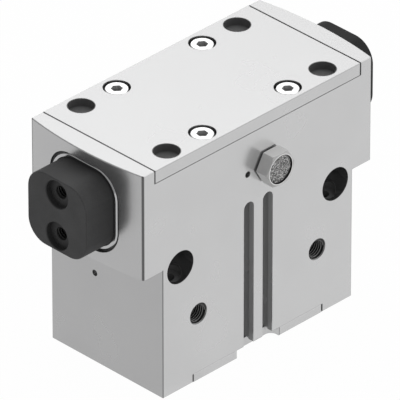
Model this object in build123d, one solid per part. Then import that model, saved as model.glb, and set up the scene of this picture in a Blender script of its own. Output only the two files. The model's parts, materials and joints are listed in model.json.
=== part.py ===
from build123d import *
import math
import os

# Pneumatic parallel gripper: an aluminium housing with two sealed jaws that a wedge moves in step.
# X runs along the jaws' travel, -Y is the long face with the air ports and the sensor slots, and Z points
# up through the cylinder. The origin is the middle of the underside. The jaws are drawn open, with the
# piston down. Sizes are in millimetres.

# Housing
body_width = 36.0
body_height = 62.0
lower_length = 61.2
end_overhang = 6.0               # of the upper block beyond the lower body, at the corners
end_block_length = lower_length + 2 * end_overhang
end_bulge = 1.6                  # of the end faces beyond the corners
end_block_height = 27.5
corner_round = 0.5
edge_break = 0.2
joint_gap = 0.2                  # line that shows where two aluminium parts meet
thread_runout = 0.5              # each threaded hole is this much deeper than its screw

# Cover and its screws
end_wall = 3.75                  # at each end of the cover
cover_length = end_block_length - 2 * end_wall
cover_thickness = 3.3
screw_edge = 4.3                 # from the long faces to the cover screws and the wells
cover_screw_x = 27.4
cover_screw_y = body_width - 2 * screw_edge
cover_screw_dia = 3.0
cover_screw_length = 8.0
cover_head_dia = 5.5
cover_head_height = 2.0
cover_head_recess_dia = 6.5
cover_head_sink = 0.3
cover_socket_flats = 2.5
cover_socket_turn = 22.0         # degrees from +X to a corner of the socket
cover_seal_cord = 1.0
cover_seal_groove = 1.2
cover_seal_margin = 2.1          # from the wedge chamber to the middle of the cord
cover_seal_corner = 3.0

# Mounting screws: wells from the top, seats at the side pockets, clearance holes below
well_end = 5.6                   # from the lower body's ends to the wells
well_spacing_x = lower_length - 2 * well_end
well_spacing_y = body_width - 2 * screw_edge
well_dia = 6.3
bolt_hole_dia = 3.4
pocket_dia = 8.4
pocket_drop = 1.5                # from the underside of the upper block to the pockets' middle
seat_drop = 4.6                  # from the pockets' middle to the screws' seats
pocket_wall = 0.8                # between a pocket and the wall that the jaw slides on, seen from above

# Jaws
jaw_side_wall = 8.6              # from the long faces to the jaw
jaw_roof = 4.3                   # from the top face to the jaw
jaw_width = body_width - 2 * jaw_side_wall
jaw_height = 19.0
jaw_corner = 5.6
jaw_proud = 8.0                  # from the bulged end face to the jaw's front, open
jaw_stroke = 6.0
jaw_clearance = 0.1
jaw_edge = 0.2
finger_spacing = 11.0
finger_thread_dia = 3.3
finger_thread_depth = 9.0
centring_dia = 7.0
centring_depth = 1.5
centring_chamfer = 0.2

# Seal and scraper round each jaw
seal_margin = 1.65               # from the jaw to the wall of the seal's recess
seal_wall = 0.5                  # part of the seal that shows outside the scraper
seal_thickness = 3.4
scraper_thickness = 1.8
scraper_proud = 0.4              # beyond the seal
scraper_lip = 0.2                # between the scraper and the jaw
seal_gap = 0.15
seal_land = 4.3                  # from the bulged end face to the floor of the recess

# Wedge drive
piston_stroke = 10.0
wedge_core_side = 2.4            # from the jaw's side to the wedge's core
wedge_head_side = 3.0            # and to the head of its T-rail
wedge_core_width = jaw_width - 2 * wedge_core_side
wedge_head_width = jaw_width - 2 * wedge_head_side
wedge_neck_width = 8.4
wedge_neck_depth = 2.6
wedge_head_depth = 2.8
wedge_play = 0.15
wedge_top_gap = 0.5
wedge_floor_gap = 0.45
jaw_tip_gap = 0.3                # from the middle to each jaw when closed
chamber_play = 0.4
chamber_corner = 1.5

# Cylinder
cylinder_wall = 5.5              # between the bore and the long faces
bore_dia = body_width - 2 * cylinder_wall
piston_gap = 0.2                 # all round
piston_dia = bore_dia - 2 * piston_gap
piston_lower_boss = 1.0
piston_land = 7.4
piston_upper_boss = 2.6
piston_end_gap = 0.3
seal_groove = 2.0
groove_depth = 2.0
groove_root_dia = piston_dia - 2 * groove_depth
boss_step = 0.3                  # from the groove's root in to the bosses
piston_boss_dia = groove_root_dia - 2 * boss_step
groove_wall = 0.5
magnet_thickness = 1.3
magnet_sink = 0.2                # below the piston's land
magnet_split = 0.8
seal_lip_gap = 0.1

# Rod, its bearing and its seal
rod_dia = 8.0
rod_play = 0.08
rod_seat = 1.5                   # how deep the rod sits in the piston and in the wedge
bushing_dia = 10.0
bushing_seal_gap = 0.5           # between the bearing's seat and the seal's pocket
rod_seal_dia = 13.0
rod_seal_height = 2.7
rod_ring_height = 1.2
fit_gap = 0.04                   # drawn between pieces that are pressed or slid together by hand
clamp_screw_dia = 4.0
clamp_head_dia = 7.0
clamp_head_height = 4.0
clamp_socket_flats = 3.0
clamp_thread_length = 5.5

# Bottom plate
plate_overlap = 8.25             # of the plate beyond the bore, along X
plate_length = bore_dia + 2 * plate_overlap
plate_thickness = 2.2
spigot_height = 2.4
plate_seal_groove = 1.4
plate_seal_depth = 0.9
plate_screw_end = 4.25           # from the plate's ends to its screws
plate_screw_edge = 5.0           # from the long faces to its screws
plate_screw_x = plate_length - 2 * plate_screw_end
plate_screw_y = body_width - 2 * plate_screw_edge
plate_screw_dia = 3.0
plate_screw_head = 5.6
plate_screw_length = 8.0
plate_socket_flats = 2.0
notch_width = 13.7
notch_depth = 2.6
notch_corner = 1.8

# Air ports and drilled channels
port_inset = 5.8                 # from the wells in to the ports
port_spacing = well_spacing_x - 2 * port_inset
port_height = 17.9
port_dia = 5.0
port_depth = 6.0
port_chamfer = 0.25
channel_dia = 1.6
riser_dia = 2.0
channel_side = 3.9               # Y of the upper channel
upper_channel_drop = 2.1         # from the top of the bore
lower_channel_dia = 1.2
ball_depth = 3.0

# Sensor slots
slot_spacing = 6.1
slot_width = 3.2
slot_rise = 4.5                  # from the underside of the upper block to the end's centre
slot_cavity_dia = 3.9
slot_cavity_depth = 2.6          # from the face to the cavity's centre

# Breather and the blind hole beside it
filter_x = 3.45
filter_drop = 13.9               # from the top face
filter_flats = 8.0
filter_head = 3.4
filter_thread = 5.0
filter_thread_length = 5.5
filter_bore = 2.4
filter_disc_dia = 7.2
filter_disc_thickness = 1.0
filter_rim_gap = 0.05
filter_disc_sink = 0.35          # below the hexagon's rim
filter_seal_dia = 7.6
filter_seal_thickness = 0.4
pip_dia = 1.6
pip_depth = 3.0

# Places that follow from the sizes above
front = -body_width / 2
step_height = body_height - end_block_height
cover_underside = body_height - cover_thickness
jaw_axis = body_height - jaw_roof - jaw_height / 2
filter_height = body_height - filter_drop
disc_seat = filter_seal_thickness + filter_head - filter_disc_thickness - filter_disc_sink
slot_top = step_height + slot_rise
pocket_height = step_height - pocket_drop
bolt_seat_height = pocket_height - seat_drop
end_face = end_block_length / 2 + end_bulge
jaw_reach = end_face + jaw_proud
recess_floor = end_face - seal_land
slope = jaw_stroke / piston_stroke
tunnel_floor = jaw_axis - jaw_height / 2 - jaw_clearance
wedge_bottom = tunnel_floor + wedge_floor_gap
wedge_top = cover_underside - piston_stroke - wedge_top_gap
wedge_half_bottom = jaw_stroke + jaw_tip_gap
piston_bottom = plate_thickness + spigot_height + piston_end_gap
piston_height = piston_lower_boss + piston_land + piston_upper_boss
piston_top = piston_bottom + piston_height
land_bottom = piston_bottom + piston_lower_boss
bore_top = piston_top + piston_stroke + piston_end_gap
rod_seal_floor = bore_top + rod_ring_height + rod_seal_height + 3 * fit_gap
bushing_bottom = rod_seal_floor + bushing_seal_gap
upper_channel_height = bore_top - upper_channel_drop
cover_head_seat = body_height - cover_head_sink - cover_head_height


def rounded_bar(width, height, radius, x_from, x_to):
    """A bar along X with the jaw's rounded-rectangle section."""
    section = Plane.YZ * RectangleRounded(width, height, radius)
    return Pos(x_from, 0, jaw_axis) * extrude(section, x_to - x_from)


def jaw_bar(margin, x_from, x_to):
    """The jaw's section grown by a margin on every side."""
    return rounded_bar(jaw_width + 2 * margin, jaw_height + 2 * margin, jaw_corner + margin, x_from, x_to)


def upright(dia, z_from, z_to, x=0.0, y=0.0):
    """A cylinder that stands between two heights."""
    return Pos(x, y, z_from) * Cylinder(dia / 2, z_to - z_from, align=(Align.CENTER, Align.CENTER, Align.MIN))


def drilling(dia, start, end):
    """A cylinder from one point to another."""
    line = Vector(*end) - Vector(*start)
    circle = Plane(origin=start, z_dir=line) * Circle(dia / 2)
    return extrude(circle, line.length)


def corners(spacing_x, spacing_y):
    """The four corners of a rectangle about the middle."""
    return [(x, y) for x in (-spacing_x / 2, spacing_x / 2) for y in (-spacing_y / 2, spacing_y / 2)]


def ring(outer, inner, z_from, z_to):
    """A plain washer."""
    return upright(outer, z_from, z_to) - upright(inner, z_from, z_to)


def mirrored(solid):
    """The same piece for the other end."""
    return mirror(solid, Plane.YZ)


def flank(z):
    """Half width of the wedge's core at a height, with the piston down."""
    return wedge_half_bottom + slope * (z - wedge_bottom)


def slanted_block(from_flank, to_flank, width, z_from, z_to):
    """A block that leans with the wedge's flank, between two distances from it."""
    outline = Polyline(
        (flank(z_from) + from_flank, z_from),
        (flank(z_from) + to_flank, z_from),
        (flank(z_to) + to_flank, z_to),
        (flank(z_to) + from_flank, z_to),
        close=True,
    )
    face = Plane.XZ * make_face(outline)
    return extrude(face, width / 2, both=True)


def housing_block():
    """The outside of the housing: a bulged upper block on a narrower body."""
    hx, hy = end_block_length / 2, body_width / 2
    outline = make_face(
        Curve() + [
            Line((-hx, -hy), (hx, -hy)),
            ThreePointArc((hx, -hy), (hx + end_bulge, 0), (hx, hy)),
            Line((hx, hy), (-hx, hy)),
            ThreePointArc((-hx, hy), (-hx - end_bulge, 0), (-hx, -hy)),
        ]
    )
    upper = extrude(fillet(outline.vertices(), corner_round), end_block_height)
    upper = chamfer(upper.faces().sort_by(Axis.Z)[-1].edges(), edge_break)
    lower = extrude(RectangleRounded(lower_length, body_width, edge_break), step_height + 1)
    lower = chamfer(lower.faces().sort_by(Axis.Z)[0].edges(), edge_break)
    return Pos(0, 0, step_height) * upper + lower


def sensor_slot(x):
    """A C-slot: a narrow mouth on a round cavity, closed by a rounded end."""
    mouth = Pos(x, front, slot_top / 2) * Box(slot_width, 2 * slot_cavity_depth, slot_top)
    mouth_end = Pos(x, front, slot_top) * Rot(90, 0, 0) * Cylinder(slot_width / 2, 2 * slot_cavity_depth)
    centre = front + slot_cavity_depth
    cavity = upright(slot_cavity_dia, 0, slot_top, x, centre)
    cavity_end = Pos(x, centre, slot_top) * Sphere(slot_cavity_dia / 2)
    return mouth + mouth_end + cavity + cavity_end


def jaw_passages():
    """The tunnel that guides both jaws, their seal recesses and the chamber for the wedge."""
    tunnel = jaw_bar(jaw_clearance, -end_face, end_face)
    recess = jaw_bar(seal_margin, recess_floor, end_face)
    reach = flank(wedge_top) + wedge_neck_depth + wedge_head_depth + chamber_play
    plan = RectangleRounded(2 * reach, wedge_core_width + 2 * chamber_play, chamber_corner)
    chamber = Pos(0, 0, tunnel_floor) * extrude(plan, cover_underside - tunnel_floor)
    return [tunnel, recess, mirrored(recess), chamber]


def cylinder_cuts():
    """The bore, the rod's seal pocket and bearing seat, and the drilled air channels."""
    port_x = port_spacing / 2
    port_floor = front + port_depth
    cuts = [
        upright(bore_dia, 0, bore_top),
        upright(rod_seal_dia, bore_top, rod_seal_floor),
        upright(rod_dia + 1, rod_seal_floor, bushing_bottom),
        upright(bushing_dia, bushing_bottom, tunnel_floor + 1),
    ]
    for x in (-port_x, port_x):
        cuts.append(drilling(port_dia, (x, front - 1, port_height), (x, port_floor, port_height)))
        mouth = Plane(origin=(x, front, port_height), z_dir=(0, 1, 0))
        cuts.append(mouth * Pos(0, 0, port_chamfer / 2) * Cone(
            port_dia / 2 + port_chamfer, port_dia / 2, port_chamfer))
    side, height = channel_side, upper_channel_height
    wall = -bore_dia / 2 + 1
    foot = (bore_dia * 0.41, -bore_dia * 0.26, land_bottom - piston_lower_boss / 2)
    cuts += [
        drilling(channel_dia, (-port_x, port_floor - 1, port_height), (-port_x, side, port_height)),
        upright(riser_dia, 0, height + channel_dia / 3, -port_x, side),
        drilling(channel_dia, (-lower_length / 2 - 1, side, height), (wall, side, height)),
        drilling(lower_channel_dia, (port_x, port_floor - 1, port_height), foot),
    ]
    return cuts


def fastening_cuts():
    """Wells, pockets and holes for the mounting screws, and threads for the cover and the plate."""
    cuts = []
    for x, y in corners(well_spacing_x, well_spacing_y):
        cuts.append(upright(well_dia, bolt_seat_height, body_height, x, y))
        cuts.append(upright(bolt_hole_dia, 0, bolt_seat_height, x, y))
        face = math.copysign(body_width / 2, y)
        inner = math.copysign(jaw_width / 2 + pocket_wall, y)
        cuts.append(drilling(pocket_dia, (x, face * 1.1, pocket_height), (x, inner, pocket_height)))
    for x, y in corners(cover_screw_x, cover_screw_y):
        floor = cover_head_seat - cover_screw_length - thread_runout
        cuts.append(upright(cover_screw_dia + fit_gap, floor, body_height, x, y))
    for x, y in corners(plate_screw_x, plate_screw_y):
        cuts.append(upright(plate_screw_dia + fit_gap, 0, plate_screw_length + thread_runout, x, y))
    return cuts


def front_face_cuts():
    """The breather's thread and the small blind hole beside it."""
    z, inside = filter_height, -jaw_width / 2 + 1
    return [
        drilling(filter_thread, (filter_x, front - 1, z), (filter_x, inside, z)),
        drilling(pip_dia, (-filter_x, front - 1, z), (-filter_x, front + pip_depth, z)),
    ]


def housing():
    half_slot = slot_spacing / 2
    cover_bed = Pos(0, 0, cover_underside + cover_thickness) * Box(
        cover_length + 2 * joint_gap, 2 * body_width, 2 * cover_thickness)
    plate_bed = Box(plate_length + 2 * joint_gap, 2 * body_width, 2 * plate_thickness)
    cuts = [cover_bed, plate_bed, sensor_slot(-half_slot), sensor_slot(half_slot)]
    cuts += jaw_passages() + cylinder_cuts() + fastening_cuts() + front_face_cuts()
    body = housing_block()
    for cut in cuts:
        body -= cut
    return body


def top_cover():
    body = Pos(0, 0, cover_underside) * Box(
        cover_length, body_width, cover_thickness, align=(Align.CENTER, Align.CENTER, Align.MIN))
    body = chamfer(body.edges(), edge_break / 2)
    for x, y in corners(well_spacing_x, well_spacing_y):
        body -= upright(well_dia, cover_underside, body_height, x, y)
    for x, y in corners(cover_screw_x, cover_screw_y):
        body -= upright(cover_head_recess_dia, cover_head_seat, body_height, x, y)
        body -= upright(cover_screw_dia + 0.2, cover_underside, body_height, x, y)
    return body - seal_path_ring(cover_seal_groove, cover_seal_groove * 0.8)


def seal_path_ring(width, height):
    """A rectangular ring that runs round the wedge chamber on the cover's underside."""
    reach = flank(wedge_top) + wedge_neck_depth + wedge_head_depth + chamber_play + cover_seal_margin
    side = wedge_core_width / 2 + chamber_play + cover_seal_margin
    outer = RectangleRounded(2 * reach + width, 2 * side + width, cover_seal_corner + width / 2)
    inner = RectangleRounded(2 * reach - width, 2 * side - width, cover_seal_corner - width / 2)
    return Pos(0, 0, cover_underside) * extrude(outer - inner, height)


def cover_seal():
    cord = seal_path_ring(cover_seal_cord, cover_seal_groove * 0.8 - fit_gap)
    return fillet(cord.edges().filter_by(Plane.XY), cover_seal_cord * 0.3)


def socket_screw(dia, length, head_dia, head_height, flats, turn=0.0):
    """A socket-head screw, head up, with the underside of its head at the origin."""
    head = chamfer(upright(head_dia, 0, head_height).edges().sort_by(Axis.Z)[-1], head_height * 0.08)
    shank = chamfer(upright(dia, -length, 0).edges().sort_by(Axis.Z)[0], dia * 0.12)
    hexagon = Rot(0, 0, turn) * RegularPolygon(flats / math.sqrt(3), 6)
    socket = Pos(0, 0, head_height * 0.4) * extrude(hexagon, head_height)
    return head + shank - socket


def cover_screws():
    screw = socket_screw(cover_screw_dia, cover_screw_length, cover_head_dia, cover_head_height,
                         cover_socket_flats, cover_socket_turn)
    return Compound(children=[
        Pos(x, y, cover_head_seat) * screw for x, y in corners(cover_screw_x, cover_screw_y)])


def bottom_plate():
    plate = Box(plate_length, body_width, plate_thickness, align=(Align.CENTER, Align.CENTER, Align.MIN))
    plate = chamfer(plate.edges(), edge_break / 2)
    notch = RectangleRounded(notch_width, 2 * notch_depth, notch_corner)
    plate -= Pos(0, front, 0) * extrude(notch, plate_thickness)
    spigot_dia = bore_dia - 2 * fit_gap
    plate += upright(spigot_dia, plate_thickness, plate_thickness + spigot_height)
    groove = plate_thickness + (spigot_height - plate_seal_groove) / 2
    plate -= ring(spigot_dia, spigot_dia - 2 * plate_seal_depth, groove, groove + plate_seal_groove)
    for x, y in corners(plate_screw_x, plate_screw_y):
        plate -= upright(plate_screw_dia + 0.2, 0, plate_thickness, x, y)
        plate -= Pos(x, y, 0) * countersunk_head(plate_screw_head + 0.2, plate_screw_dia)
    return plate


def countersunk_head(head_dia, dia):
    """A 90-degree head whose flat top is on the underside of the plate."""
    depth = (head_dia - dia) / 2
    return Cone(head_dia / 2, dia / 2, depth, align=(Align.CENTER, Align.CENTER, Align.MIN))


def plate_seal():
    middle = plate_thickness + spigot_height / 2
    cord = plate_seal_depth + fit_gap
    return Pos(0, 0, middle) * Torus(bore_dia / 2 - cord / 2, cord / 2 - fit_gap / 2)


def plate_screws():
    screw = countersunk_head(plate_screw_head, plate_screw_dia)
    screw += upright(plate_screw_dia, 0, plate_screw_length)
    screw -= extrude(RegularPolygon(plate_socket_flats / math.sqrt(3), 6), 1.0)
    return Compound(children=[Pos(x, y, fit_gap) * screw for x, y in corners(plate_screw_x, plate_screw_y)])


def jaw_right():
    """A slab with rounded corners, cut at its inner end to hook round the wedge's T-rail."""
    low, high = tunnel_floor, jaw_axis + jaw_height / 2 + 1
    body = chamfer(jaw_bar(0, 0, jaw_reach).faces().sort_by(Axis.X)[-1].edges(), jaw_edge)
    neck, head = wedge_neck_depth, wedge_neck_depth + wedge_head_depth
    body -= slanted_block(-2 * jaw_reach, wedge_play, 2 * jaw_width, low, high)
    body -= slanted_block(0, head, wedge_neck_width + 2 * wedge_play, low, high)
    body -= slanted_block(neck - wedge_play, head + wedge_play, wedge_head_width + 2 * wedge_play, low, high)
    for z in (jaw_axis - finger_spacing / 2, jaw_axis + finger_spacing / 2):
        floor = jaw_reach - centring_depth
        body -= drilling(centring_dia, (floor, 0, z), (jaw_reach + 1, 0, z))
        body -= drilling(finger_thread_dia, (floor - finger_thread_depth, 0, z), (jaw_reach, 0, z))
        mouth = Plane(origin=(jaw_reach, 0, z), z_dir=(-1, 0, 0))
        body -= mouth * Pos(0, 0, centring_chamfer / 2) * Cone(
            centring_dia / 2 + centring_chamfer, centring_dia / 2, centring_chamfer)
    return body


def jaw_seal_right():
    """An elastic ring in the recess, stepped in front to hold the scraper."""
    front_x = recess_floor + seal_thickness
    body = jaw_bar(seal_margin - fit_gap, recess_floor + fit_gap, front_x)
    body -= jaw_bar(seal_gap, recess_floor, front_x)
    return body - jaw_bar(seal_margin - seal_wall, front_x - scraper_thickness + scraper_proud, front_x)


def jaw_scraper_right():
    """A narrow lip that wipes the jaw, bevelled on its outer edge."""
    front_x = recess_floor + seal_thickness + scraper_proud
    body = jaw_bar(seal_margin - seal_wall - fit_gap, front_x - scraper_thickness + fit_gap, front_x)
    body = chamfer(body.faces().sort_by(Axis.X)[-1].edges(), scraper_proud * 0.7)
    return body - jaw_bar(scraper_lip, recess_floor, end_face)


def wedge():
    """A block that widens upwards, with a T-rail leaning along each flank."""
    low, high = wedge_bottom, wedge_top
    neck, head = wedge_neck_depth, wedge_neck_depth + wedge_head_depth
    half = slanted_block(-flank(low), 0, wedge_core_width, low, high)
    half += slanted_block(-flank(low) / 2, head, wedge_neck_width, low, high)
    half += slanted_block(neck, head, wedge_head_width, low, high)
    middle = Pos(0, 0, low) * Box(2 * flank(low), wedge_core_width, high - low,
                                  align=(Align.CENTER, Align.CENTER, Align.MIN))
    body = middle + half + mirrored(half)
    body -= upright(rod_dia + 2 * fit_gap, low, low + rod_seat)
    return body - upright(clamp_screw_dia + 2 * fit_gap, low, low + rod_seat + clamp_thread_length)


def groove_heights():
    """Lower edges of the piston's three grooves, and their widths."""
    first = land_bottom + groove_wall
    second = first + seal_groove + groove_wall
    third = second + magnet_thickness + 2 * fit_gap + groove_wall
    return first, second, third


def piston():
    lower, magnet, upper = groove_heights()
    body = upright(piston_boss_dia, piston_bottom, piston_top)
    body += upright(piston_dia, land_bottom, land_bottom + piston_land)
    body = chamfer(body.edges().filter_by(GeomType.CIRCLE), edge_break)
    for z, height in ((lower, seal_groove), (magnet, magnet_thickness + 2 * fit_gap), (upper, seal_groove)):
        body -= ring(piston_dia + 1, groove_root_dia, z, z + height)
    head_room = clamp_head_height + piston_end_gap
    body -= upright(clamp_head_dia + 0.4, piston_bottom, piston_bottom + head_room)
    body -= upright(clamp_screw_dia + 0.3, piston_bottom, piston_top)
    return body - upright(rod_dia + 2 * fit_gap, piston_top - rod_seat, piston_top)


def piston_seals():
    """Two lip seals, each opening away from the magnet."""
    lower, _, upper = groove_heights()
    root = groove_root_dia / 2 + fit_gap
    tip = bore_dia / 2 - seal_lip_gap
    profile = make_face(Plane.XZ * Polyline(
        (root, 0.1), (root, seal_groove * 0.9), ((root + tip) / 2, seal_groove * 0.45),
        (tip - 0.2, seal_groove * 0.9), (tip, seal_groove * 0.75), (tip - 0.3, 0.1), close=True))
    lip = revolve(profile, Axis.Z)
    flipped = mirror(lip, Plane.XY)
    return Compound(children=[Pos(0, 0, upper) * lip, Pos(0, 0, lower + seal_groove) * flipped])


def piston_magnet():
    """A bonded ring magnet, split so that it springs into its groove."""
    _, z, _ = groove_heights()
    magnet_dia = piston_dia - 2 * magnet_sink
    body = ring(magnet_dia, groove_root_dia + 2 * fit_gap, z + fit_gap, z + fit_gap + magnet_thickness)
    return body - Pos(magnet_dia / 2, 0, z) * Box(magnet_dia / 2, magnet_split, 4 * magnet_thickness)


def piston_rod():
    foot = piston_top - rod_seat + fit_gap
    tip = wedge_bottom + rod_seat - fit_gap
    return ring(rod_dia, clamp_screw_dia + 0.3, foot, tip)


def piston_screw():
    seat = piston_bottom + clamp_head_height + piston_end_gap
    tip = wedge_bottom + rod_seat + clamp_thread_length - 0.5
    screw = socket_screw(clamp_screw_dia, tip - seat, clamp_head_dia, clamp_head_height, clamp_socket_flats)
    return Pos(0, 0, seat) * Rot(180, 0, 0) * screw


def rod_bushing():
    low, high = bushing_bottom + fit_gap, tunnel_floor - fit_gap
    body = ring(bushing_dia - 2 * fit_gap, rod_dia + 2 * rod_play, low, high)
    return chamfer(body.edges().filter_by(GeomType.CIRCLE), edge_break)


def rod_seal():
    """A lip seal that opens towards the cylinder."""
    z = bore_top + rod_ring_height + 2 * fit_gap
    outer = rod_seal_dia / 2 - fit_gap
    inner = rod_dia / 2 + seal_lip_gap
    profile = make_face(Plane.XZ * Polyline(
        (inner + 0.3, z + rod_seal_height), (outer, z + rod_seal_height), (outer, z),
        ((inner + outer) / 2, z + rod_seal_height * 0.45), (inner + 0.15, z), (inner, z + 0.4), close=True))
    return revolve(profile, Axis.Z)


def rod_seal_ring():
    low = bore_top + fit_gap
    return ring(rod_seal_dia - 2 * fit_gap, rod_dia + 1.5, low, low + rod_ring_height)


def channel_balls():
    """Balls that close the outer ends of the upper air channel."""
    low = Pos(-port_spacing / 2, channel_side, plate_thickness + ball_depth) * Sphere(riser_dia / 2 - fit_gap)
    side = Pos(-lower_length / 2 + ball_depth, channel_side, upper_channel_height) * Sphere(
        channel_dia / 2 - fit_gap)
    return Compound(children=[low, side])


def breather_plane(distance):
    """A plane on the breather's axis, this far out from the housing, looking outwards."""
    return Plane(origin=(filter_x, front - distance, filter_height), x_dir=(1, 0, 0), z_dir=(0, -1, 0))


def filter_body():
    base = breather_plane(filter_seal_thickness)
    hexagon = base * extrude(RegularPolygon(filter_flats / math.sqrt(3), 6), filter_head)
    rim = filter_flats / 2
    crown = base * Pos(0, 0, filter_head / 2) * Cone(
        rim - 0.1 + filter_head / math.tan(math.radians(30)), rim - 0.1, filter_head)
    body = hexagon & crown
    stem = base * Pos(0, 0, -(filter_thread_length + filter_seal_thickness) / 2) * Cylinder(
        filter_thread / 2 - fit_gap, filter_thread_length + filter_seal_thickness)
    body += stem
    body -= breather_plane(-filter_thread_length) * extrude(Circle(filter_bore / 2), 2 * filter_thread_length)
    mouth = breather_plane(disc_seat)
    return body - mouth * extrude(Circle(filter_disc_dia / 2 + filter_rim_gap), filter_head)


def filter_disc():
    disc = breather_plane(disc_seat) * extrude(Circle(filter_disc_dia / 2), filter_disc_thickness)
    return chamfer(disc.edges().sort_by(Axis.Y)[0], edge_break / 2)


def filter_seal():
    outer = breather_plane(0) * extrude(Circle(filter_seal_dia / 2), filter_seal_thickness)
    return outer - breather_plane(0) * extrude(Circle(filter_thread / 2), filter_seal_thickness)


def build():
    return {
        "housing": housing(),
        "top_cover": top_cover(),
        "cover_seal": cover_seal(),
        "cover_screws": cover_screws(),
        "bottom_plate": bottom_plate(),
        "plate_seal": plate_seal(),
        "plate_screws": plate_screws(),
        "jaw_right": jaw_right(),
        "jaw_left": mirrored(jaw_right()),
        "jaw_seal_right": jaw_seal_right(),
        "jaw_seal_left": mirrored(jaw_seal_right()),
        "jaw_scraper_right": jaw_scraper_right(),
        "jaw_scraper_left": mirrored(jaw_scraper_right()),
        "wedge": wedge(),
        "piston": piston(),
        "piston_seals": piston_seals(),
        "piston_magnet": piston_magnet(),
        "piston_rod": piston_rod(),
        "piston_screw": piston_screw(),
        "rod_bushing": rod_bushing(),
        "rod_seal": rod_seal(),
        "rod_seal_ring": rod_seal_ring(),
        "channel_balls": channel_balls(),
        "filter_body": filter_body(),
        "filter_disc": filter_disc(),
        "filter_seal": filter_seal(),
    }


os.makedirs("parts", exist_ok=True)
for name, shape in build().items():
    export_step(shape, f"parts/{name}.step")
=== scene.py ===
import bpy
import bmesh
import json
import math
from mathutils import Matrix, Vector, noise


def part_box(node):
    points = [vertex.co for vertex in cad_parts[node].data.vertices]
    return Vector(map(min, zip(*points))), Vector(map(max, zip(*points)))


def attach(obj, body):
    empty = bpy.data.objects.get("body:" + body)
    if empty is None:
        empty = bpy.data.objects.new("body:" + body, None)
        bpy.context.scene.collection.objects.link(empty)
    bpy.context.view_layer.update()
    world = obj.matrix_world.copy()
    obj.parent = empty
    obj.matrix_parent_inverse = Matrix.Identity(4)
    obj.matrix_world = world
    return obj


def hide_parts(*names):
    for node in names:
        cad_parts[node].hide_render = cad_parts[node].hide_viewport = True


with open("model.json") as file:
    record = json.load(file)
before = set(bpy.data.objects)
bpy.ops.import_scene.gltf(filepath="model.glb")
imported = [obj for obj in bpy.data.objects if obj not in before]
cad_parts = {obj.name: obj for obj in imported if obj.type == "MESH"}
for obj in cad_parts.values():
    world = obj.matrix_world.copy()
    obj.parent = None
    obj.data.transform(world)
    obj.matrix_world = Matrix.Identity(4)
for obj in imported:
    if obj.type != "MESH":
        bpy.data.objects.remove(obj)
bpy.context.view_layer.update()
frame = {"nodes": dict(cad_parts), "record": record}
nodes = frame["nodes"]
mounts = {mount["name"]: mount for mount in frame["record"]["mounts"]}
mm = 0.001
print("frame loaded")


def corners(name):
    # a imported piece's lowest and highest corners in millimetres
    low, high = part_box(name)
    return low / mm, high / mm


# places in millimetres, as the frame has them
halfWidth = corners("housing")[1].y
top = corners("housing")[1].z
coverHalf = corners("top_cover")[1].x
coverUnder = corners("top_cover")[0].z
plateHalf = corners("bottom_plate")[1].x
jawHalf = corners("jaw_right")[1].y
wellX = mounts["through_bolts"]["dims"]["spacing_x_mm"] / 2
wellY = mounts["through_bolts"]["dims"]["spacing_y_mm"] / 2
port = Vector(mounts["port_right"]["pos_m"]) / mm
slot = Vector(mounts["sensor_slot_right"]["pos_m"]) / mm
jawFace = Vector(mounts["finger_face_right"]["pos_m"]) / mm
jawHoleHalf = mounts["finger_threads_right"]["dims"]["spacing_y_mm"] / 2
jawHoleRadius = mounts["centring_right_upper"]["dims"]["r_mm"]
breatherLow, breatherHigh = corners("filter_body")
breatherMiddle = (breatherLow + breatherHigh) / 2
discFront = corners("filter_disc")[0].y


class Sock:
    # wraps a shader socket, so that masks read as plain sums
    def __init__(self, tree, out):
        self.tree, self.out = tree, out

    def calc(self, operation, other=0.0, flip=False):
        a, b = (other, self) if flip else (self, other)
        return makeNode(self.tree, "ShaderNodeMath", {"operation": operation}, {0: a, 1: b})

    def __add__(self, other):
        return self.calc("ADD", other)

    def __radd__(self, other):
        return self.calc("ADD", other)

    def __sub__(self, other):
        return self.calc("SUBTRACT", other)

    def __rsub__(self, other):
        return self.calc("SUBTRACT", other, True)

    def __mul__(self, other):
        return self.calc("MULTIPLY", other)

    def __rmul__(self, other):
        return self.calc("MULTIPLY", other)

    def __truediv__(self, other):
        return self.calc("DIVIDE", other)

    def __rtruediv__(self, other):
        return self.calc("DIVIDE", other, True)

    def __pow__(self, other):
        return self.calc("POWER", other)

    def __rpow__(self, other):
        return self.calc("POWER", other, True)

    def __abs__(self):
        return self.calc("ABSOLUTE")

    def larger(self, other):
        return self.calc("MAXIMUM", other)

    def clip(self):
        return makeNode(self.tree, "ShaderNodeClamp", {}, {"Value": self})


def makeNode(tree, kind, settings, inputs, output=0):
    # one node: its settings first, then its sockets' values or links
    made = tree.nodes.new(kind)
    for name, value in settings.items():
        setattr(made, name, value)
    for name, value in inputs.items():
        if isinstance(value, Sock):
            tree.links.new(value.out, made.inputs[name])
        else:
            made.inputs[name].default_value = value
    return Sock(tree, made.outputs[output])


def newMaterial(name, baseColor, roughness, metallic, **fixed):
    # a Principled material, and its tree, shader node and object coordinates in millimetres
    mat = bpy.data.materials.new(name)
    mat.use_nodes = True
    tree = mat.node_tree
    shader = tree.nodes["Principled BSDF"]
    shader.inputs["Base Color"].default_value = (*baseColor, 1)
    shader.inputs["Roughness"].default_value = roughness
    shader.inputs["Metallic"].default_value = metallic
    for socket, value in fixed.items():
        shader.inputs[socket].default_value = value
    coords = makeNode(tree, "ShaderNodeTexCoord", {}, {}, "Object")
    place = makeNode(tree, "ShaderNodeVectorMath", {"operation": "SCALE"}, {0: coords, "Scale": 1 / mm})
    return mat, tree, shader, place


def splitPlace(tree, place):
    return [makeNode(tree, "ShaderNodeSeparateXYZ", {}, {0: place}, axis) for axis in range(3)]


def away(a, b):
    # distance from a line, from two offsets
    return (a * a + b * b) ** 0.5


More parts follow.
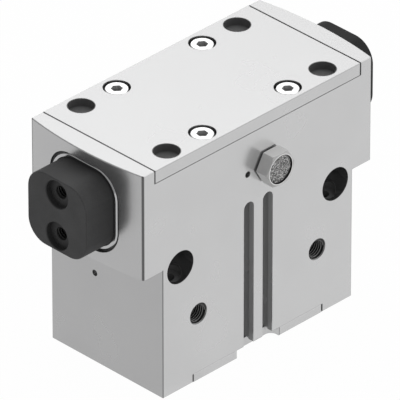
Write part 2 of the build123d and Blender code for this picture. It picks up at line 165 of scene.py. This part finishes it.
def below(value, limit, soft=0.1):
    # 1 where the value is under the limit, 0 over it
    return ((limit - value) / soft).clip()


def above(value, limit, soft=0.1):
    # 1 where the value is over the limit, 0 under it
    return ((value - limit) / soft).clip()


def nearLine(value, place, half):
    # 1 within half of a place, with a soft edge
    return below(abs(value - place), half + 0.03, 0.06)


def dim(tone, mask, factor):
    # the tone times a factor where the mask is 1
    return tone * (1.0 - mask * (1.0 - factor))


def grain(tree, place, scale, detail=2.0):
    return makeNode(tree, "ShaderNodeTexNoise", {}, {"Vector": place, "Scale": scale, "Detail": detail})


def shade(tree, fraction, dark, light):
    # a colour between two, by a fraction
    colours = {0: fraction, 6: (*dark, 1), 7: (*light, 1)}
    return makeNode(tree, "ShaderNodeMix", {"data_type": "RGBA"}, colours, 2)


def plug(tree, shader, **links):
    for name, sock in links.items():
        tree.links.new(sock.out, shader.inputs[name.replace("_", " ")])


def plugTone(tree, shader, tone, light, roughness, fine):
    # from black up to the light colour by the tone, with grain in the gloss
    plug(tree, shader, Base_Color=shade(tree, tone.clip(), (0, 0, 0), light))
    plug(tree, shader, Roughness=roughness - 0.06 + fine * 0.12)


def addBump(tree, shader, height, strength):
    relief = {"Height": height, "Strength": strength, "Distance": 0.03 * mm}
    plug(tree, shader, Normal=makeNode(tree, "ShaderNodeBump", {}, relief))


def dress(name, mat):
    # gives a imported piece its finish
    nodes[name].material_slots[0].material = mat


# aluminium block, cover, bottom plate and piston: each tone is a fraction of the metal's own; apart
# from the dark joints and seams, these tones are painted shade and painted light in holes, along edges
# and over whole faces
satin = {
    "light": (0.54, 0.54, 0.542), "lightest": 1.7, "roughness": 0.26, "metallic": 0.85,
    "cloudScale": 0.09, "fineScale": 2.6,
    "wellTone": 1.25, "wellRimTone": 0.17, "wellDeepTone": 0.30, "wellLipTone": 0.30,
    "pocketTone": 0.46, "portTone": 0.30, "slotTone": 0.71, "cornerTone": 0.24,
    "endTone": 0.84, "lowerEndTone": 0.78, "faceTone": 1.06, "plateSideTone": 1.04, "jointTone": 0.24,
    "coverSeamTone": 0.36, "plateSeamTone": 0.76, "screwRecessTone": 0.30,
    "topEdgeTone": 0.80, "frontEdgeTone": 0.78,
}

# holes and edges that those tones follow, in millimetres
block = {
    "endHalf": 36.6, "lowerHalf": 30.6, "step": 34.5, "cornerDepth": 0.65,
    "wellRadius": 3.15, "wellRim": 1.9, "wellDepth": 12.0,
    "pocketRadius": 4.2, "pocketDrop": 1.5, "portRadius": 2.9,
    "slotHalf": 2.2, "slotFloor": 5.0, "slotTop": 41.5,
    "plateTop": 2.2, "notchEdge": 6.98, "seam": 0.05, "coverJoint": 0.28, "plateJoint": 0.31,
    "screwHeadRadius": 2.75, "screwRecessRadius": 3.27, "screwRecessDepth": 2.0,
}
screwX = corners("cover_screws")[1].x - block["screwHeadRadius"]

# half widths of the painted shade lines along edges, and of the dark joints and seams, in millimetres
lineHalf = {
    "endCorner": 0.17, "lowCorner": 0.19, "lowCornerSide": 0.12, "frontEdge": 0.25, "topEdge": 0.15,
    "coverJoint": 0.08, "plateJoint": 0.11, "plateEnd": 0.09, "notch": 0.10, "seam": 0.07,
    "screwRecess": 1.93,
}
# reach: how far a hole's painted shade goes past its wall
reach = 0.15  # how far a hole's tone goes past its wall, and stops short of the face
skin = 0.1  # depth of what still counts as a face


def cloudedTone(cloud, fine):
    return 0.94 + cloud * 0.10 + fine * 0.02


def fromPort(x, y, z):
    # distance from the nearer port's axis
    return away(abs(x) - port.x, z - port.z)


def satinTone(tree, place, cloud, fine):
    # clouded tone, with painted shade in the wells: dark at the rim, painted lighter below it and dark
    # again deep down, and non-metallic all the way down; a painted dark ring goes round each well's lip
    x, y, z = splitPlace(tree, place)
    fromWell = away(abs(x) - wellX, abs(y) - wellY)
    inWell = below(z, top - skin, 0.05) * above(z, 0.3)
    well = below(fromWell, block["wellRadius"] + reach, 0.05) * inWell
    lip = below(fromWell, block["wellRadius"] + 0.18, 0.05) * above(z, top - skin, 0.05)
    tone = dim(cloudedTone(cloud, fine), well, satin["wellRimTone"])
    underRim = well * below(z, top - block["wellRim"], 1.6)
    tone = dim(tone, underRim, satin["wellTone"] / satin["wellRimTone"])
    tone = dim(tone, well * below(z, top - block["wellDepth"], 2.0), satin["wellDeepTone"])
    return dim(tone, lip, satin["wellLipTone"]), satin["metallic"] * (1.0 - well)


def satinHousing(tree, place, cloud, fine):
    x, y, z = splitPlace(tree, place)
    sideX, sideY = abs(x), abs(y)
    tone, metallic = satinTone(tree, place, cloud, fine)
    face = above(sideY, halfWidth - skin, 0.05)
    upper = above(z, block["step"] - skin)
    # painted shade in the pocket, the port mouths and the slots; the slots are also made non-metallic
    fromPocket = away(sideX - wellX, z - (block["step"] - block["pocketDrop"]))
    pocket = below(fromPocket, block["pocketRadius"] + reach) * below(sideY, halfWidth - reach)
    inPort = below(y, 0.0) * above(y, 0.01 - halfWidth, 0.02)
    mouth = below(fromPort(x, y, z), block["portRadius"]) * inPort
    inSlot = below(y, block["slotFloor"] - halfWidth) * above(y, reach - halfWidth)
    inSlot = inSlot * below(abs(sideX - slot.x), block["slotHalf"]) * below(z, block["slotTop"])
    # painted shade lines along the end corners, lower corners, front edges and top edge, standing for
    # the shade on their small chamfers
    endCorner = nearLine(sideX, block["endHalf"] - 0.05, lineHalf["endCorner"])
    endCorner = endCorner * above(sideY, halfWidth - block["cornerDepth"], 0.25) * upper
    lowCorner = nearLine(sideX, block["lowerHalf"], lineHalf["lowCorner"])
    lowCorner = lowCorner * nearLine(sideY, halfWidth, lineHalf["lowCornerSide"])
    lowCorner = lowCorner * below(z, block["step"] + skin)
    frontEdge = nearLine(sideX, block["endHalf"] - skin, lineHalf["frontEdge"]) * face * upper
    topEdge = nearLine(z, top - skin, lineHalf["topEdge"]) * face
    coverJoint = nearLine(sideX, coverHalf + block["coverJoint"], lineHalf["coverJoint"])
    coverJoint = coverJoint * above(z, coverUnder - skin)
    coverSeam = nearLine(z, coverUnder - block["seam"], lineHalf["seam"])
    coverSeam = coverSeam * below(sideX, coverHalf + 0.25) * face
    plateJoint = nearLine(sideX, plateHalf + block["plateJoint"], lineHalf["plateJoint"])
    plateJoint = plateJoint * below(z, block["plateTop"] + skin)
    plateSeam = nearLine(z, block["plateTop"] + block["seam"], lineHalf["seam"])
    plateSeam = plateSeam * below(sideX, plateHalf + 0.25) * face
    # painted shade over the end faces and lower end faces; the long faces get painted light
    endFace = above(sideX, block["endHalf"] - 2 * skin) * below(z, top - skin, 0.05)
    lowerEnd = above(sideX, block["lowerHalf"] - skin, 0.05) * below(z, block["step"], 0.05)
    # the joint and seam tones are dark joints; all the other tones here are painted shade or painted
    # light
    for mask, factor in (
        (face, "faceTone"), (pocket, "pocketTone"), (mouth, "portTone"), (inSlot, "slotTone"),
        (endCorner.larger(lowCorner), "cornerTone"), (frontEdge, "frontEdgeTone"),
        (topEdge, "topEdgeTone"), (coverJoint.larger(plateJoint), "jointTone"),
        (coverSeam, "coverSeamTone"), (plateSeam, "plateSeamTone"),
        (endFace, "endTone"), (lowerEnd, "lowerEndTone"),
    ):
        tone = dim(tone, mask, satin[factor])
    return tone, metallic * (1.0 - inSlot)


def satinPlate(halfLength, seam, seamTone):
    # a plate let into the housing, with dark joints at its ends and a fainter seam along its edge
    def tones(tree, place, cloud, fine):
        x, y, z = splitPlace(tree, place)
        tone, metallic = satinTone(tree, place, cloud, fine)
        side = above(abs(y), halfWidth - reach, 0.05)
        fromScrew = away(abs(x) - screwX, abs(y) - wellY)
        recess = below(fromScrew, block["screwRecessRadius"], 0.04)
        recess = recess * nearLine(z, top - block["screwRecessDepth"], lineHalf["screwRecess"])
        plateEnd = nearLine(abs(x), halfLength, lineHalf["plateEnd"])
        notch = nearLine(x, block["notchEdge"], lineHalf["notch"]) * side
        notch = notch * below(z, block["plateTop"] + skin)
        # painted light over the plate's long sides, painted shade in the screw recesses and along the
        # top edge; the plate end and notch lines and the seam are dark joints
        for mask, factor in (
            (side, satin["plateSideTone"]), (recess, satin["screwRecessTone"]),
            (plateEnd, satin["jointTone"]), (notch, satin["jointTone"]),
            (nearLine(z, top - skin, lineHalf["topEdge"]) * side, satin["topEdgeTone"]),
            (nearLine(z, seam, lineHalf["seam"]) * side, seamTone),
        ):
            tone = dim(tone, mask, factor)
        return tone, metallic
    return tones


def satinInside(tree, place, cloud, fine):
    # the same all over, on a piece that no side shows
    return cloudedTone(cloud, fine), None


def satinAluminium(name, tones):
    mat, tree, shader, place = newMaterial(name, satin["light"], satin["roughness"], satin["metallic"])
    cloud = grain(tree, place, satin["cloudScale"], 3.0)
    fine = grain(tree, place, satin["fineScale"])
    tone, metallic = tones(tree, place, cloud, fine)
    lightest = tuple(c * satin["lightest"] for c in satin["light"])
    plug(tree, shader, Base_Color=shade(tree, (tone / satin["lightest"]).clip(), (0, 0, 0), lightest))
    plug(tree, shader, Roughness=satin["roughness"] - 0.05 + cloud * 0.10)
    if metallic:
        plug(tree, shader, Metallic=metallic)
    return mat


satinCover = satinPlate(coverHalf, coverUnder, satin["coverSeamTone"])
satinBottom = satinPlate(plateHalf, block["plateTop"], satin["plateSeamTone"])
dress("housing", satinAluminium("satinHousing", satinHousing))
dress("top_cover", satinAluminium("satinCover", satinCover))
dress("bottom_plate", satinAluminium("satinBottomPlate", satinBottom))
dress("piston", satinAluminium("satinPiston", satinInside))
print("aluminium dressed")

# black hard-coated jaws, with painted shade in the holes, on the side faces and over the whole right
# jaw
hardCoat = {"light": (0.070, 0.070, 0.071), "lightest": 1.3, "roughness": 0.62, "gloss": 0.22,
            "holeTone": 0.67, "sideTone": 0.90, "rightTone": 0.30}


def fromJawHole(x, y, z):
    # distance from the nearer hole's axis in a jaw's face
    return away(y, abs(z - jawFace.z) - jawHoleHalf)


def hardCoated():
    mat, tree, shader, place = newMaterial("blackHardCoat", hardCoat["light"], hardCoat["roughness"],
                                           0.0, **{"Specular IOR Level": hardCoat["gloss"]})
    x, y, z = splitPlace(tree, place)
    cloud = grain(tree, place, 0.15)
    fine = grain(tree, place, 3.5)
    # painted shade in the tapped holes, on the side faces and over the right jaw
    hole = below(fromJawHole(x, y, z), jawHoleRadius + reach) * below(abs(x), jawFace.x - 0.08)
    tone = dim(0.29 + (cloud * 0.6 + fine * 0.4) * 0.71, hole, hardCoat["holeTone"])
    tone = dim(tone, above(abs(y), jawHalf - 2 * skin), hardCoat["sideTone"])
    tone = dim(tone, above(x, 0.0), hardCoat["rightTone"])
    lightest = tuple(c * hardCoat["lightest"] for c in hardCoat["light"])
    plugTone(tree, shader, tone, lightest, hardCoat["roughness"], fine)
    addBump(tree, shader, fine, 0.12)
    return mat


jawFinish = hardCoated()
for name in ("jaw_left", "jaw_right"):
    dress(name, jawFinish)
print("jaws dressed")

# breather plug: nickel plated, with painted shade in the disc's recess, on the crown and on the left
# facets
breather = {"light": (0.95, 0.946, 0.941), "roughness": 0.46, "metallic": 0.90, "tone": 0.82,
            "recessTone": 0.05, "crownTone": 0.42, "leftTone": 0.95, "recess": 3.68, "crown": 3.9,
            "crownSlope": 0.577, "flatHalf": 2.31}


def nickelPlate():
    mat, tree, shader, place = newMaterial("nickelPlate", breather["light"],
                                           breather["roughness"], breather["metallic"])
    x, y, z = splitPlace(tree, place)
    fine = grain(tree, place, 1.4, 3.0)
    fromAxis = away(x - breatherMiddle.x, z - breatherMiddle.z)
    recess = below(fromAxis, breather["recess"], 0.03) * above(y, breatherLow.y + 0.03, 0.03)
    crownDepth = y - breatherLow.y - (fromAxis - breather["crown"]) * breather["crownSlope"]
    crown = below(crownDepth, 0.05, 0.06) * above(fromAxis, breather["recess"] + 0.02, 0.04)
    left = below(x, breatherMiddle.x - breather["flatHalf"], 0.6)
    left = left * above(fromAxis, breather["crown"] + 0.05, 0.05)
    # painted shade on the left facets, on the crown and in the disc's recess
    tone = dim(breather["tone"] * (0.90 + fine * 0.10), left, breather["leftTone"])
    tone = dim(dim(tone, crown, breather["crownTone"]), recess, breather["recessTone"])
    plugTone(tree, shader, tone, breather["light"], breather["roughness"], fine)
    return mat


dress("filter_body", nickelPlate())

# cover screws: bright plated heads, with painted shade on the socket walls; the socket floor keeps the
# plain tone
coverScrew = {"light": (0.97, 0.97, 0.97), "roughness": 0.30, "metallic": 0.85, "socketTone": 0.35,
              "socketFloorTone": 1.0, "socketRadius": 1.6, "socketFloorRadius": 1.0}


def platedScrews():
    mat, tree, shader, place = newMaterial("zincPlateScrews", coverScrew["light"],
                                           coverScrew["roughness"], coverScrew["metallic"])
    x, y, z = splitPlace(tree, place)
    fine = grain(tree, place, 1.5, 3.0)
    fromScrew = away(abs(x) - screwX, abs(y) - wellY)
    headTop = corners("cover_screws")[1].z
    # painted shade in the hex sockets, which are also made non-metallic
    socket = below(fromScrew, coverScrew["socketRadius"]) * below(z, headTop - 0.04, 0.05)
    socketFloor = below(fromScrew, coverScrew["socketFloorRadius"], 0.3) * socket
    tone = dim(0.93 + fine * 0.07, socket, coverScrew["socketTone"])
    tone = tone + socketFloor * (coverScrew["socketFloorTone"] - coverScrew["socketTone"])
    plugTone(tree, shader, tone, coverScrew["light"], coverScrew["roughness"], fine)
    plug(tree, shader, Metallic=coverScrew["metallic"] * (1.0 - socket))
    return mat


dress("cover_screws", platedScrews())

# even finishes: colours, gloss, size and depth of the grain, and the pieces that have them
evenFinishes = {
    "blackRubber": {
        "light": (0.035, 0.035, 0.037), "dark": (0.018, 0.018, 0.019), "roughness": 0.62,
        "metallic": 0.0, "scale": 2.0, "bump": 0.2,
        "pieces": ["cover_seal", "plate_seal", "piston_seals", "rod_seal", "filter_seal",
                   "jaw_seal_left", "jaw_seal_right"]},
    "brightStainless": {
        "light": (0.46, 0.46, 0.465), "dark": (0.40, 0.40, 0.405), "roughness": 0.16,
        "metallic": 1.0, "scale": 1.2, "bump": 0.02,
        "pieces": ["jaw_scraper_left", "jaw_scraper_right"]},
    "zincPlate": {
        "light": (0.97, 0.97, 0.97), "dark": (0.90, 0.90, 0.91), "roughness": 0.30,
        "metallic": 0.85, "scale": 1.5, "bump": 0.05,
        "pieces": ["plate_screws", "piston_screw", "channel_balls"]},
    "groundSteel": {
        "light": (0.55, 0.55, 0.56), "dark": (0.42, 0.42, 0.43), "roughness": 0.36,
        "metallic": 1.0, "scale": 1.2, "bump": 0.15,
        "pieces": ["piston_rod", "wedge", "rod_seal_ring"]},
    "bearingBronze": {
        "light": (0.55, 0.36, 0.17), "dark": (0.42, 0.26, 0.12), "roughness": 0.48,
        "metallic": 1.0, "scale": 3.0, "bump": 0.3,
        "pieces": ["rod_bushing"]},
    "bondedFerrite": {
        "light": (0.06, 0.06, 0.062), "dark": (0.035, 0.035, 0.036), "roughness": 0.66,
        "metallic": 0.0, "scale": 3.0, "bump": 0.3,
        "pieces": ["piston_magnet"]},
}


def evenFinish(name, finish):
    mat, tree, shader, place = newMaterial(name, finish["light"], finish["roughness"],
                                           finish["metallic"])
    fine = grain(tree, place, finish["scale"], 3.0)
    plug(tree, shader, Base_Color=shade(tree, fine, finish["dark"], finish["light"]))
    plug(tree, shader, Roughness=finish["roughness"] - 0.06 + fine * 0.12)
    addBump(tree, shader, fine, finish["bump"])
    return mat


for name, finish in evenFinishes.items():
    mat = evenFinish(name, finish)
    for piece in finish["pieces"]:
        dress(piece, mat)
print("small pieces dressed")


def newPiece(name, bm, body, mat):
    # a finished mesh that rides with one body
    bmesh.ops.remove_doubles(bm, verts=bm.verts, dist=1e-7)
    bmesh.ops.recalc_face_normals(bm, faces=bm.faces)
    mesh = bpy.data.meshes.new(name)
    bm.to_mesh(mesh)
    bm.free()
    for face in mesh.polygons:
        face.use_smooth = True
    piece = bpy.data.objects.new(name, mesh)
    bpy.context.scene.collection.objects.link(piece)
    mesh.materials.append(mat)
    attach(piece, body)
    return piece


# sintered disc of the breather: packed grains, in millimetres
disc = {"radius": 3.59, "rings": 48, "steps": 144, "rim": 3.36, "grain": 4.4, "height": 0.10,
        "proud": 0.08, "sink": 0.10, "gapMost": 0.6, "gapMean": 0.28,
        "light": (0.96, 0.953, 0.946), "dark": (0.04, 0.04, 0.04), "rimTone": 0.1, "metallic": 0.8}


def sinteredGrains():
    # each grain has a tone of its own, with painted shade towards its edge in the gaps between grains,
    # and a painted dark ring at the disc's rim
    mat, tree, shader, place = newMaterial("sinteredGrains", (0.45, 0.45, 0.45), 0.42,
                                           disc["metallic"])
    packed = {"Vector": place, "Scale": disc["grain"]}
    gap = makeNode(tree, "ShaderNodeTexVoronoi", {}, packed, "Distance")
    tint = makeNode(tree, "ShaderNodeTexVoronoi", {}, packed, "Color")
    level = makeNode(tree, "ShaderNodeSeparateXYZ", {}, {0: tint}, 0)
    x, y, z = splitPlace(tree, place)
    rim = above(away(x - breatherMiddle.x, z - breatherMiddle.z), disc["rim"], 0.06)
    tone = dim((1.26 - gap * 1.95) * (0.26 + level * 0.94), rim, disc["rimTone"]).clip()
    plug(tree, shader, Base_Color=shade(tree, tone, disc["dark"], disc["light"]))
    plug(tree, shader, Roughness=0.55 - tone * 0.25)
    return mat


def sinteredDisc():
    bm = bmesh.new()
    radii = [disc["radius"] * i / disc["rings"] for i in range(disc["rings"] + 1)]
    line = [bm.verts.new((r, 0, 0)) for r in radii]
    edges = [bm.edges.new(pair) for pair in zip(line, line[1:])]
    bmesh.ops.spin(bm, geom=line + edges, axis=(0, 1, 0), cent=(0, 0, 0), angle=math.tau,
                   steps=disc["steps"], use_merge=True)
    centre = (breatherMiddle.x, discFront - disc["proud"], breatherMiddle.z)
    bmesh.ops.translate(bm, verts=bm.verts, vec=centre)
    for v in bm.verts:
        gap = noise.voronoi(v.co * disc["grain"])[0][0]
        v.co.y += disc["sink"] + disc["height"] * (min(gap, disc["gapMost"]) - disc["gapMean"])
    bmesh.ops.scale(bm, verts=bm.verts, vec=(mm, mm, mm))
    piece = newPiece("sinteredFace", bm, "body", sinteredGrains())
    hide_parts("filter_disc")


sinteredDisc()
print("breather disc made")

# cut threads: a helical ridge along each tapped hole, from a little below its mouth
portThread = {"root": 2.52, "tip": 2.12, "crest": 2.20, "pitch": 0.62, "turns": 8.6, "steps": 30,
              "start": 0.3, "light": (0.40, 0.40, 0.40), "dark": (0.004, 0.004, 0.004),
              "metallic": 0.2}
jawThread = {"root": 1.66, "tip": 1.46, "crest": 1.55, "pitch": 0.7, "turns": 11.0, "steps": 20,
             "start": 2.0, "light": (0.014, 0.014, 0.014), "dark": (0.004, 0.004, 0.004),
             "metallic": 0.0}


def threadRidge(name, thread, start, out, body, mat):
    # out points out of the hole
    bm = bmesh.new()
    root, tip = thread["root"], thread["tip"]
    half, flat = thread["pitch"] * 0.47, thread["pitch"] * 0.07
    outline = [(root, -half), (root, half), (tip, flat), (tip, -flat)]
    face = bm.faces.new([bm.verts.new((r, 0, h)) for r, h in outline])
    bmesh.ops.spin(bm, geom=[face], axis=(0, 0, 1), cent=(0, 0, 0), angle=math.tau * thread["turns"],
                   dvec=(0, 0, -thread["pitch"] / thread["steps"]),
                   steps=round(thread["turns"] * thread["steps"]))
    turn = Vector((0, 0, 1)).rotation_difference(Vector(out)).to_matrix().to_4x4()
    place = Matrix.Scale(mm, 4) @ Matrix.Translation(start) @ turn
    bmesh.ops.transform(bm, verts=bm.verts, matrix=place)
    newPiece(name, bm, body, mat)


def cutThread(name, thread, fromHole):
    # a painted highlight on the crest over painted shade at the root, by the distance from the hole's
    # axis
    mat, tree, shader, place = newMaterial(name, thread["light"], 0.4, thread["metallic"])
    fine = grain(tree, place, 1.5, 3.0)
    crest = below(fromHole(*splitPlace(tree, place)), thread["crest"], 0.06)
    tone = (crest * (0.85 + fine * 0.15)).clip()
    plug(tree, shader, Base_Color=shade(tree, tone, thread["dark"], thread["light"]))
    plug(tree, shader, Roughness=0.34 + fine * 0.12)
    return mat


threadCut = cutThread("threadCut", portThread, fromPort)
threadBlack = cutThread("threadBlack", jawThread, fromJawHole)
portStart = portThread["start"] - halfWidth
jawStart = jawFace.x - jawThread["start"]
for side, word in ((-1, "Left"), (1, "Right")):
    threadRidge("portThread" + word, portThread, (side * port.x, portStart, port.z), (0, -1, 0),
                "body", threadCut)
    for level, height in ((-1, "Lower"), (1, "Upper")):
        start = (side * jawStart, 0, jawFace.z + level * jawHoleHalf)
        threadRidge("jawThread" + word + height, jawThread, start, (side, 0, 0),
                    word.lower() + "_jaw", threadBlack)
print("threads cut")

# floor, light and camera, in metres and watts
room = {"floor": (0.86, 0.86, 0.86), "floorSize": 6.0, "floorDrop": 0.00003, "floorGlow": 0.98,
        "world": 0.50}


def makeFloor():
    bm = bmesh.new()
    bmesh.ops.create_grid(bm, x_segments=1, y_segments=1, size=room["floorSize"])
    bmesh.ops.translate(bm, verts=bm.verts, vec=(0, 0, -room["floorDrop"]))
    mesh = bpy.data.meshes.new("floor")
    bm.to_mesh(mesh)
    bm.free()
    floor = bpy.data.objects.new("floor", mesh)
    bpy.context.scene.collection.objects.link(floor)
    mat, tree, shader, place = newMaterial("paleFloor", room["floor"], 0.9, 0.0)
    seen, glossy, passed = [makeNode(tree, "ShaderNodeLightPath", {}, {}, ray) for ray in
                            ("Is Camera Ray", "Is Glossy Ray", "Is Transmission Ray")]
    seen = seen.larger(glossy).larger(passed)
    glow = makeNode(tree, "ShaderNodeEmission", {}, {"Color": (1, 1, 1, 1), "Strength": 1.0})
    surface = Sock(tree, shader.outputs[0])
    both = {0: seen * room["floorGlow"], 1: surface, 2: glow}
    mixed = makeNode(tree, "ShaderNodeMixShader", {}, both)
    tree.links.new(mixed.out, tree.nodes["Material Output"].inputs["Surface"])
    mesh.materials.append(mat)


def makeWorld():
    world = bpy.data.worlds.new("room")
    bpy.context.scene.world = world
    world.use_nodes = True
    back = world.node_tree.nodes["Background"]
    back.inputs["Color"].default_value = (1, 1, 1, 1)
    back.inputs["Strength"].default_value = room["world"]


lamps = {
    "above": {"place": (0.5, 0.7, 1.1), "size": 1.3, "power": 5.5},
    "right": {"place": (1.0, -1.1, 0.35), "size": 2.6, "power": 15.0},
}
aim = Vector((0, 0, 0.03))  # the middle of the part, where the lamps and the camera point


def makeLamps():
    for name, lamp in lamps.items():
        data = bpy.data.lights.new(name, "AREA")
        data.shape = "DISK"
        data.size = lamp["size"]
        data.energy = lamp["power"]
        light = bpy.data.objects.new(name, data)
        light.location = lamp["place"]
        light.rotation_euler = (aim - light.location).to_track_quat("-Z", "Y").to_euler()
        bpy.context.scene.collection.objects.link(light)


camera = {"azimuth": -45.02, "elevation": 32.22, "distance": 2.287, "lens": 901.4,
          "shift": (-0.00558, 0.01648)}


def makeCamera():
    a, e = math.radians(camera["azimuth"]), math.radians(camera["elevation"])
    back = Vector((math.sin(a) * math.cos(e), -math.cos(a) * math.cos(e), math.sin(e)))
    data = bpy.data.cameras.new("camera")
    data.sensor_width = 36.0
    data.lens = camera["lens"]
    data.shift_x, data.shift_y = camera["shift"]
    cam = bpy.data.objects.new("camera", data)
    cam.location = aim + back * camera["distance"]
    cam.rotation_euler = back.to_track_quat("Z", "Y").to_euler()
    bpy.context.scene.collection.objects.link(cam)
    bpy.context.scene.camera = cam


makeFloor()
makeWorld()
makeLamps()
makeCamera()
bpy.context.scene.view_settings.view_transform = "Standard"
print("room ready")
